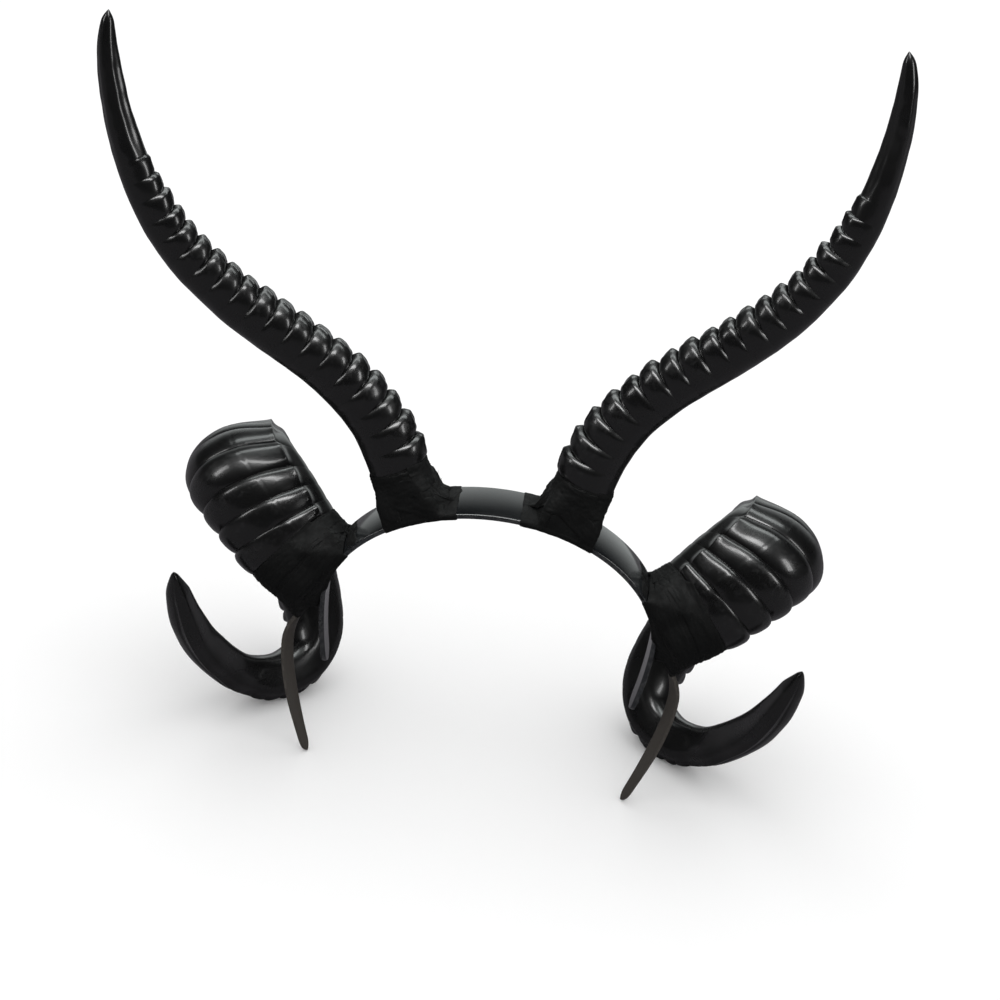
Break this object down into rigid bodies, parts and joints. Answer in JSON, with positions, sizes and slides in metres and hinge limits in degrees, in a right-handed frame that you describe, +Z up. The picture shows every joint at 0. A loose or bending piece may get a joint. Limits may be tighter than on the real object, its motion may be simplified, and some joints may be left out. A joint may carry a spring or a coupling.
{
  "type": "horned headband",
  "caption": "Costume head band with tall ringed horns that sweep outwards and curled ram horns at the sides, all bound on with black cloth tape.",
  "frame": {"origin": "middle of the bounding box's base, on the surface it stands on", "axes": "+X to the right of someone facing its front, +Y from its front to its back, +Z up"},
  "size_m": [0.35, 0.121, 0.371],
  "materials": {
    "horn_plastic": "gloss",
    "band_plastic": "high gloss",
    "arm_plastic": "satin",
    "cloth_tape": "matte weave"
  },
  "bodies": {
    "root": {"head_band": "band_plastic", "side_arm_left": "arm_plastic", "side_arm_right": "arm_plastic", "tall_horn_left": "horn_plastic", "tall_horn_right": "horn_plastic", "ram_horn_left": "horn_plastic", "ram_horn_right": "horn_plastic", "tall_wrap_left": "cloth_tape", "tall_wrap_right": "cloth_tape", "ram_wrap_left": "cloth_tape", "ram_wrap_right": "cloth_tape"}
  },
  "joints": []
}
